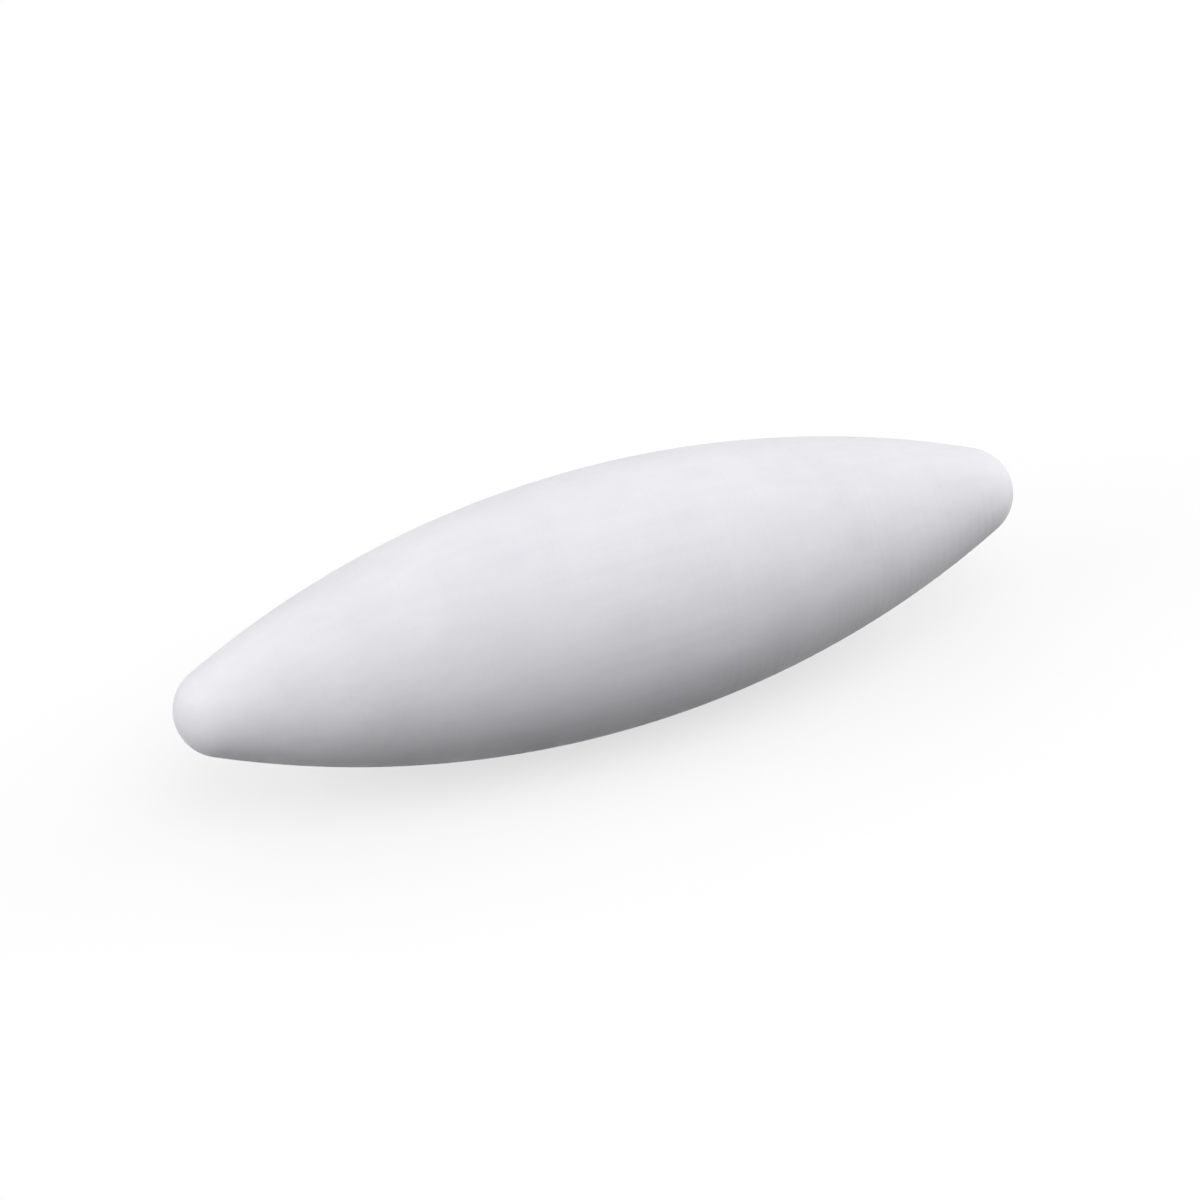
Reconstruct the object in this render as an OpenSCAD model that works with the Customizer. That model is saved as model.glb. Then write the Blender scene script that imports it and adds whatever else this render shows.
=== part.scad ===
// Oval magnetic stir bar: a bar magnet sealed inside a smooth, spindle-shaped PTFE jacket.
// The bar lies along X. Its belly touches z = 0 at the origin, the point on which it spins.

/* [Jacket] */
// Overall length, tip to tip
bar_length = 52; // [40:0.5:80]
// Diameter at the middle of the belly
bar_diameter = 15.2; // [12:0.1:24]
// Radius of the round tips
tip_radius = 2.7; // [1.5:0.1:4.5]

/* [Magnet] */
// Diameter of the magnet rod
magnet_diameter = 8; // [4:0.1:11]
// Chamfer on the end edges of the magnet rod
magnet_chamfer = 0.4; // [0.1:0.1:1]
// Thickness of the jacket over the end edges of the magnet, its thinnest place
edge_cover = 1.7; // [0.8:0.1:3.2]

/* [Fit] */
// Gap all round between the magnet and its pocket in the jacket
pocket_gap = 0.05; // [0.02:0.01:0.2]

/* [Hidden] */
$fn = 256;

bar_radius = bar_diameter / 2;
magnet_radius = magnet_diameter / 2;

// Distance along the axis from the middle of the bar to the centre of each tip's arc
tip_centre = bar_length / 2 - tip_radius;

// Radius of the long belly arc, which touches both tip arcs without a corner
belly_radius = (tip_centre ^ 2 + bar_radius ^ 2 - tip_radius ^ 2) / (2 * (bar_radius - tip_radius));

// Radial place of the belly arc's centre, which lies across the axis
belly_centre = bar_radius - belly_radius;

// Distance along the axis from the middle of the bar to where the belly arc hands over to the tips
handover = tip_centre * belly_radius / (belly_radius - tip_radius);

// Extra radius that makes each tip circle cross the belly arc cleanly at the handover
crossing = 0.002;
tip_circle = tip_radius + crossing;

// The magnet is as long as the cover over its end edges allows
magnet_length = 2 * sqrt((belly_radius - edge_cover) ^ 2 - (magnet_radius - belly_centre) ^ 2);

// Everything is turned about Z first, then laid along X with the belly on z = 0
module lay_down() {
    translate([0, 0, bar_radius])
        rotate([0, 90, 0])
            children();
}

// Half of the jacket's outline, with the axis at x = 0: one long arc between two round tips
module jacket_outline() {
    intersection() {
        translate([belly_centre, 0])
            circle(belly_radius);
        union() {
            square([2 * bar_diameter, 2 * handover], center = true);
            for (end = [-1, 1])
                translate([0, end * (bar_length / 2 - tip_circle)])
                    circle(tip_circle);
        }
        translate([0, -bar_length])
            square([bar_diameter, 2 * bar_length]);
    }
}

// A round rod about Z with chamfered ends
module chamfered_rod(radius, length) {
    half = length / 2;
    rotate_extrude()
        polygon([
            [0, -half],
            [radius - magnet_chamfer, -half],
            [radius, magnet_chamfer - half],
            [radius, half - magnet_chamfer],
            [radius - magnet_chamfer, half],
            [0, half],
        ]);
}

// The moulded jacket, in one piece, with the closed pocket that holds the magnet
module jacket() {
    color([0.93, 0.93, 0.95])
        lay_down()
            difference() {
                rotate_extrude()
                    jacket_outline();
                chamfered_rod(magnet_radius + pocket_gap, magnet_length + 2 * pocket_gap);
            }
}

// The cast and ground magnet rod
module bar_magnet() {
    color([0.42, 0.42, 0.44])
        lay_down()
            chamfered_rod(magnet_radius, magnet_length);
}

jacket();
bar_magnet();
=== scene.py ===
"""Looks of an oval magnetic stir bar: a satin white PTFE jacket moulded over a bar magnet."""

import math

import bpy
from mathutils import Matrix, Vector


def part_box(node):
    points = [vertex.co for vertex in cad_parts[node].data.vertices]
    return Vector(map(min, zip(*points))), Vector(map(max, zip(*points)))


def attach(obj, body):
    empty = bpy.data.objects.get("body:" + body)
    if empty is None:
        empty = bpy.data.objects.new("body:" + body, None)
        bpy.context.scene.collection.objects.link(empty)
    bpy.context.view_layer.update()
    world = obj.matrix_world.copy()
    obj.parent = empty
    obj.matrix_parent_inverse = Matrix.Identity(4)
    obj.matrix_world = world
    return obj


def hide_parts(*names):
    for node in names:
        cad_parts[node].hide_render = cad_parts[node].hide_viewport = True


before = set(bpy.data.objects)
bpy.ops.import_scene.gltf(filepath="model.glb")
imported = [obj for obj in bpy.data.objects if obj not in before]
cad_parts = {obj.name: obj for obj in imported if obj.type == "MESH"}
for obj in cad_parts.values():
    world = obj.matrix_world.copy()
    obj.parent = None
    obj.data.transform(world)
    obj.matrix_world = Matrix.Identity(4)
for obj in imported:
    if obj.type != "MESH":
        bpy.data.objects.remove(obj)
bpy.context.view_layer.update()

# Units, in metres
MM = 0.001
MICRON = 1e-6

# Sizes of the bar, which lies along X on its belly
JACKET_LOW, JACKET_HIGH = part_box("jacket")
MAGNET_LOW, MAGNET_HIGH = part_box("bar_magnet")
HALF_LENGTH = (JACKET_HIGH.x - JACKET_LOW.x) / 2
BAR_RADIUS = (JACKET_HIGH.y - JACKET_LOW.y) / 2
AXIS_HEIGHT = JACKET_HIGH.z - BAR_RADIUS
TIP_RADIUS = 2.7 * MM
TIP_CENTRE = HALF_LENGTH - TIP_RADIUS
BELLY_RADIUS = (TIP_CENTRE**2 + BAR_RADIUS**2 - TIP_RADIUS**2) / (2 * (BAR_RADIUS - TIP_RADIUS))
HANDOVER_LEAN = math.atan2(TIP_CENTRE, BELLY_RADIUS - BAR_RADIUS)
POCKET_GAP = 0.05 * MM
POCKET_CHAMFER = 0.4 * MM
POCKET_HALF_LENGTH = (MAGNET_HIGH.x - MAGNET_LOW.x) / 2 + POCKET_GAP
POCKET_RADIUS = (MAGNET_HIGH.y - MAGNET_LOW.y) / 2 + POCKET_GAP

# Fineness of the jacket's mesh, and the share of its unwrapped map that the outer skin takes
SKIN_SEGMENTS = 192
BELLY_STEPS = 120
TIP_STEPS = 20
SKIN_MAP_SHARE = 0.8

# Span in which most values of a noise pattern lie
NOISE_LOW = 0.3
NOISE_HIGH = 0.7

# PTFE of the jacket: each pattern's features to a metre, levels of detail and times finer along each axis,
# and the spans of tint, roughness and height, in metres, that the patterns add
PTFE_WHITE = (0.842, 0.834, 0.868, 1.0)
PTFE_MILKY = (0.776, 0.770, 0.814, 1.0)
PTFE_SHADER = {
    "IOR": 1.35,
    "Specular IOR Level": 0.4,
    "Subsurface Weight": 0.65,
    "Subsurface Radius": (1.0, 0.95, 0.9),
    "Subsurface Scale": 3.0 * MM,
}
PTFE_PATTERNS = {
    "clouds": {"scale": 210.0, "detail": 3.0},
    "grain": {"scale": 6500.0, "detail": 2.0},
    "swell": {"scale": 260.0, "detail": 1.0},
    "turning": {"scale": 45.0, "detail": 2.0, "finer": (70.0, 1.0, 1.0)},
    "streaks": {"scale": 55.0, "detail": 2.0, "finer": (1.0, 28.0, 28.0)},
}
PTFE_TINT = {"clouds": (0.0, 0.7), "streaks": (0.0, 0.3)}
PTFE_ROUGHNESS = {"clouds": (0.36, 0.42), "turning": (0.0, 0.10)}
PTFE_RELIEF = {
    "grain": (0.0, 5.0 * MICRON),
    "turning": (0.0, 14.0 * MICRON),
    "streaks": (0.0, 8.0 * MICRON),
    "swell": (0.0, 40.0 * MICRON),
}

# Alloy of the magnet, given in the same way
ALLOY_DARK = (0.25, 0.245, 0.24, 1.0)
ALLOY_GREY = (0.36, 0.355, 0.35, 1.0)
ALLOY_SHADER = {"Metallic": 1.0}
ALLOY_PATTERNS = {
    "casting": {"scale": 900.0, "detail": 4.0},
    "grinding": {"scale": 90.0, "detail": 3.0, "finer": (60.0, 1.0, 1.0)},
}
ALLOY_ROUGHNESS = {"grinding": (0.38, 0.55)}
ALLOY_RELIEF = {"casting": (0.0, 6.0 * MICRON), "grinding": (0.0, 4.0 * MICRON)}

# White of the floor, the sky and the background
WHITE = (1.0, 1.0, 1.0, 1.0)

# Floor: its side in metres, the share of its white that shadows leave, and the colour that it throws back
FLOOR_SIDE = 6.0
FLOOR_GLOW = 0.66
FLOOR_BOUNCE = (0.03, 0.03, 0.03, 1.0)

# Lights: a lamp's share is how much of white it adds to a surface that faces it, and angles are in degrees
SKY_STRENGTH = 0.45
LAMP_SPREAD = 50.0
LAMPS = {
    "key": {"azimuth": 10.0, "elevation": 62.0, "share": 0.24},
    "left_fill": {"azimuth": -90.0, "elevation": 15.0, "share": 0.58},
    "right_fill": {"azimuth": 90.0, "elevation": 15.0, "share": 0.46},
    "front_fill": {"azimuth": 55.0, "elevation": 25.0, "share": 0.09},
    "back_fill": {"azimuth": 180.0, "elevation": 35.0, "share": 0.08},
}

# Camera: where it stands as seen from the bar, in degrees and metres, its sensor in millimetres,
# and its focal length and the width that it frames, in the photo's pixels
CAMERA_AZIMUTH = -21.0
CAMERA_ELEVATION = 37.3
CAMERA_ROLL = 3.05
CAMERA_DISTANCE = 0.391
SENSOR_WIDTH = 36.0
FOCAL_PX = 1587.0
FRAMED_PX = 280.0


def add_object(name, data):
    """A new object in the scene that shows this data."""
    made = bpy.data.objects.new(name, data)
    bpy.context.scene.collection.objects.link(made)
    return made


def add_node(tree, kind, values=None, **settings):
    """A new shader node with its input values and settings."""
    made = tree.nodes.new(kind)
    for name, value in settings.items():
        setattr(made, name, value)
    for name, value in (values or {}).items():
        made.inputs[name].default_value = value
    return made


def noise(tree, coordinates, scale, detail, finer=(1.0, 1.0, 1.0)):
    """A noise pattern's value: features to a metre, levels of detail, and times finer along each axis."""
    mapping = add_node(tree, "ShaderNodeMapping", {"Scale": finer})
    tree.links.new(coordinates, mapping.inputs["Vector"])
    pattern = add_node(tree, "ShaderNodeTexNoise", {"Scale": scale, "Detail": detail})
    tree.links.new(mapping.outputs["Vector"], pattern.inputs["Vector"])
    return pattern.outputs["Fac"]


def noises(tree, looks):
    """A material's noise patterns by name, all placed by the object's own coordinates."""
    place = add_node(tree, "ShaderNodeTexCoord").outputs["Object"]
    return {name: noise(tree, place, **look) for name, look in looks.items()}


def ranged(tree, value, low, high):
    """A noise pattern's usual span, mapped to low and high."""
    span = {"From Min": NOISE_LOW, "From Max": NOISE_HIGH, "To Min": low, "To Max": high}
    spread = add_node(tree, "ShaderNodeMapRange", span)
    tree.links.new(value, spread.inputs["Value"])
    return spread.outputs["Result"]


def joined(tree, operation, values):
    """Several values brought together by one operation, such as ADD."""
    total = values[0]
    for value in values[1:]:
        step = add_node(tree, "ShaderNodeMath", operation=operation)
        tree.links.new(total, step.inputs[0])
        tree.links.new(value, step.inputs[1])
        total = step.outputs["Value"]
    return total


def layered(tree, patterns, spans):
    """The sum of several patterns, each mapped to its own span."""
    layers = [ranged(tree, patterns[name], low, high) for name, (low, high) in spans.items()]
    return joined(tree, "ADD", layers)


def shades(tree, factor, first, second):
    """A colour between first and second."""
    ramp = add_node(tree, "ShaderNodeValToRGB")
    ramp.color_ramp.elements[0].color = first
    ramp.color_ramp.elements[1].color = second
    tree.links.new(factor, ramp.inputs["Fac"])
    return ramp.outputs["Color"]


def relief(tree, height):
    """A normal from a height in metres."""
    bump = add_node(tree, "ShaderNodeBump", {"Strength": 1.0, "Distance": 1.0})
    tree.links.new(height, bump.inputs["Height"])
    return bump.outputs["Normal"]


def new_surface(name):
    """A material with an empty node tree and its output."""
    material = bpy.data.materials.new(name)
    material.use_nodes = True
    material.node_tree.nodes.clear()
    output = add_node(material.node_tree, "ShaderNodeOutputMaterial")
    return material, material.node_tree, output


def ptfe_material():
    """Moulded and polished PTFE: milky white, satin, with faint turning marks and a fine grain."""
    material, tree, output = new_surface("ptfe_satin_white")
    patterns = noises(tree, PTFE_PATTERNS)
    tint = layered(tree, patterns, PTFE_TINT)
    height = layered(tree, patterns, PTFE_RELIEF)
    shader = add_node(tree, "ShaderNodeBsdfPrincipled", PTFE_SHADER)
    tree.links.new(shades(tree, tint, PTFE_WHITE, PTFE_MILKY), shader.inputs["Base Color"])
    tree.links.new(layered(tree, patterns, PTFE_ROUGHNESS), shader.inputs["Roughness"])
    tree.links.new(relief(tree, height), shader.inputs["Normal"])
    tree.links.new(shader.outputs["BSDF"], output.inputs["Surface"])
    return material


def alloy_material():
    """Cast and ground magnet alloy: dull grey metal with grinding marks round the rod."""
    material, tree, output = new_surface("magnet_alloy")
    patterns = noises(tree, ALLOY_PATTERNS)
    height = layered(tree, patterns, ALLOY_RELIEF)
    shader = add_node(tree, "ShaderNodeBsdfPrincipled", ALLOY_SHADER)
    tree.links.new(shades(tree, patterns["casting"], ALLOY_DARK, ALLOY_GREY), shader.inputs["Base Color"])
    tree.links.new(layered(tree, patterns, ALLOY_ROUGHNESS), shader.inputs["Roughness"])
    tree.links.new(relief(tree, height), shader.inputs["Normal"])
    tree.links.new(shader.outputs["BSDF"], output.inputs["Surface"])
    return material


def seen_directly(tree):
    """1 for a ray that shows what it meets, from the camera or by way of gloss or glass."""
    path = add_node(tree, "ShaderNodeLightPath")
    kinds = ("Is Camera Ray", "Is Glossy Ray", "Is Transmission Ray")
    return joined(tree, "MAXIMUM", [path.outputs[kind] for kind in kinds])


def floor_material():
    """A white lit table that keeps a soft shadow and throws little light back up."""
    material, tree, output = new_surface("studio_floor")
    glow = add_node(tree, "ShaderNodeEmission", {"Color": WHITE, "Strength": 1.0})
    lit = add_node(tree, "ShaderNodeBsdfDiffuse", {"Color": WHITE})
    shown = add_node(tree, "ShaderNodeMixShader", {"Fac": 1.0 - FLOOR_GLOW})
    tree.links.new(glow.outputs["Emission"], shown.inputs[1])
    tree.links.new(lit.outputs["BSDF"], shown.inputs[2])
    bounce = add_node(tree, "ShaderNodeBsdfDiffuse", {"Color": FLOOR_BOUNCE})
    choice = add_node(tree, "ShaderNodeMixShader")
    tree.links.new(seen_directly(tree), choice.inputs["Fac"])
    tree.links.new(bounce.outputs["BSDF"], choice.inputs[1])
    tree.links.new(shown.outputs["Shader"], choice.inputs[2])
    tree.links.new(choice.outputs["Shader"], output.inputs["Surface"])
    return material


def outline_point(lean):
    """Distance along the axis, and from it, where the outline's normal leans so far towards a tip."""
    if abs(lean) <= HANDOVER_LEAN:
        along = BELLY_RADIUS * math.sin(lean)
        out = BELLY_RADIUS * math.cos(lean) - (BELLY_RADIUS - BAR_RADIUS)
    else:
        along = math.copysign(TIP_CENTRE, lean) + TIP_RADIUS * math.sin(lean)
        out = TIP_RADIUS * math.cos(lean)
    return along, out


def evenly(first, last, steps):
    """Values from first to last, both included."""
    return [first + (last - first) * step / steps for step in range(steps + 1)]


def jacket_outline():
    """The jacket's outline from tip to tip, with its points closer together round the tips."""
    tip = evenly(HANDOVER_LEAN, math.pi / 2, TIP_STEPS)
    belly = evenly(-HANDOVER_LEAN, HANDOVER_LEAN, BELLY_STEPS)
    leans = [-lean for lean in reversed(tip)] + belly[1:-1] + tip
    return [outline_point(lean) for lean in leans]


def pocket_outline():
    """The magnet pocket's outline, end to end the other way, so that its faces look inwards."""
    end = [
        (POCKET_HALF_LENGTH, 0.0),
        (POCKET_HALF_LENGTH, POCKET_RADIUS - POCKET_CHAMFER),
        (POCKET_HALF_LENGTH - POCKET_CHAMFER, POCKET_RADIUS),
    ]
    return end + [(-along, out) for along, out in reversed(end)]


def length_shares(outline):
    """Share of the outline's length that lies before each of its points."""
    lengths = [0.0]
    for (along, out), (next_along, next_out) in zip(outline, outline[1:]):
        lengths.append(lengths[-1] + math.hypot(next_along - along, next_out - out))
    return [length / lengths[-1] for length in lengths]


def ring_points(along, out):
    """Points of one ring about the bar's axis, or a single point where the outline meets the axis."""
    if out < MICRON:
        return [(along, 0.0, AXIS_HEIGHT)]
    turns = [2 * math.pi * step / SKIN_SEGMENTS for step in range(SKIN_SEGMENTS)]
    return [(along, out * math.sin(turn), AXIS_HEIGHT - out * math.cos(turn)) for turn in turns]


def ring_corners(ring, steps, rise):
    """Vertex and map place of a face's corners on one ring, or of a single corner at a point."""
    if len(ring) == 1:
        middle = sum(steps) / len(steps)
        return [(ring[0], (middle / SKIN_SEGMENTS, rise))]
    return [(ring[step % SKIN_SEGMENTS], (step / SKIN_SEGMENTS, rise)) for step in steps]


def turned(outline, map_low, map_high, start):
    """Vertices, faces and map corners of an outline turned about the bar's axis, numbered from start."""
    vertices, faces, corners = [], [], []
    rings = []
    for along, out in outline:
        points = ring_points(along, out)
        first = start + len(vertices)
        rings.append(range(first, first + len(points)))
        vertices.extend(points)
    rises = [map_low + (map_high - map_low) * share for share in length_shares(outline)]
    for index in range(len(rings) - 1):
        for step in range(SKIN_SEGMENTS):
            face = ring_corners(rings[index], (step, step + 1), rises[index])
            face += ring_corners(rings[index + 1], (step + 1, step), rises[index + 1])
            faces.append([vertex for vertex, place in face])
            corners.extend(place for vertex, place in face)
    return vertices, faces, corners


def make_jacket():
    """The jacket's smooth outer skin, with the closed pocket inside it."""
    skin_vertices, skin_faces, skin_corners = turned(jacket_outline(), 0.0, SKIN_MAP_SHARE, 0)
    pocket = turned(pocket_outline(), SKIN_MAP_SHARE, 1.0, len(skin_vertices))
    pocket_vertices, pocket_faces, pocket_corners = pocket
    mesh = bpy.data.meshes.new("jacket_skin")
    mesh.from_pydata(skin_vertices + pocket_vertices, [], skin_faces + pocket_faces)
    unwrapped = mesh.uv_layers.new(name="OFBake")
    for corner, place in zip(unwrapped.data, skin_corners + pocket_corners):
        corner.uv = place
    for index, face in enumerate(mesh.polygons):
        face.use_smooth = index < len(skin_faces)
    mesh.validate()
    mesh.materials.append(ptfe_material())
    jacket = add_object("jacket_skin", mesh)
    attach(jacket, "root")
    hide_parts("jacket")


def finish_magnet():
    """The sealed magnet keeps its solid and gets its metal."""
    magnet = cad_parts["bar_magnet"]
    magnet.data.materials.clear()
    magnet.data.materials.append(alloy_material())


def direction(azimuth, elevation):
    """Unit vector towards a place seen at these angles, in degrees, with azimuth 0 in front."""
    side, rise = math.radians(azimuth), math.radians(elevation)
    return Vector((math.sin(side) * math.cos(rise), -math.cos(side) * math.cos(rise), math.sin(rise)))


def make_floor():
    """The plain floor that the bar lies on."""
    edge = FLOOR_SIDE / 2
    corners = [(-edge, -edge, 0.0), (edge, -edge, 0.0), (edge, edge, 0.0), (-edge, edge, 0.0)]
    mesh = bpy.data.meshes.new("studio_floor")
    mesh.from_pydata(corners, [], [(0, 1, 2, 3)])
    mesh.materials.append(floor_material())
    floor = add_object("studio_floor", mesh)


def make_sky():
    """Even white studio light from all round, and a white background."""
    world = bpy.data.worlds.new("studio")
    world.use_nodes = True
    tree = world.node_tree
    tree.nodes.clear()
    light = add_node(tree, "ShaderNodeBackground", {"Color": WHITE, "Strength": SKY_STRENGTH})
    backdrop = add_node(tree, "ShaderNodeBackground", {"Color": WHITE, "Strength": 1.0})
    choice = add_node(tree, "ShaderNodeMixShader")
    output = add_node(tree, "ShaderNodeOutputWorld")
    tree.links.new(seen_directly(tree), choice.inputs["Fac"])
    tree.links.new(light.outputs["Background"], choice.inputs[1])
    tree.links.new(backdrop.outputs["Background"], choice.inputs[2])
    tree.links.new(choice.outputs["Shader"], output.inputs["Surface"])
    bpy.context.scene.world = world


def make_lamp(name, azimuth, elevation, share):
    """One broad soft light from far away, which shows in no reflection."""
    data = bpy.data.lights.new(name, "SUN")
    data.energy = math.pi * share
    data.angle = math.radians(LAMP_SPREAD)
    lamp = add_object(name, data)
    lamp.rotation_mode = "QUATERNION"
    lamp.rotation_quaternion = direction(azimuth, elevation).to_track_quat("Z", "Y")
    lamp.visible_glossy = False


def make_camera():
    """The camera, aimed at the middle of the bar."""
    data = bpy.data.cameras.new("camera")
    data.sensor_width = SENSOR_WIDTH
    data.lens = SENSOR_WIDTH * FOCAL_PX / FRAMED_PX
    camera = add_object("camera", data)
    back = direction(CAMERA_AZIMUTH, CAMERA_ELEVATION)
    aimed = back.to_track_quat("Z", "Y").to_matrix()
    rolled = aimed @ Matrix.Rotation(math.radians(-CAMERA_ROLL), 3, "Z")
    place = Vector((0.0, 0.0, AXIS_HEIGHT)) + back * CAMERA_DISTANCE
    camera.matrix_world = Matrix.Translation(place) @ rolled.to_4x4()
    bpy.context.scene.camera = camera


make_camera()
make_jacket()
finish_magnet()
make_floor()
make_sky()
for lamp_name, lamp_setup in LAMPS.items():
    make_lamp(lamp_name, **lamp_setup)
bpy.context.scene.view_settings.view_transform = "Standard"
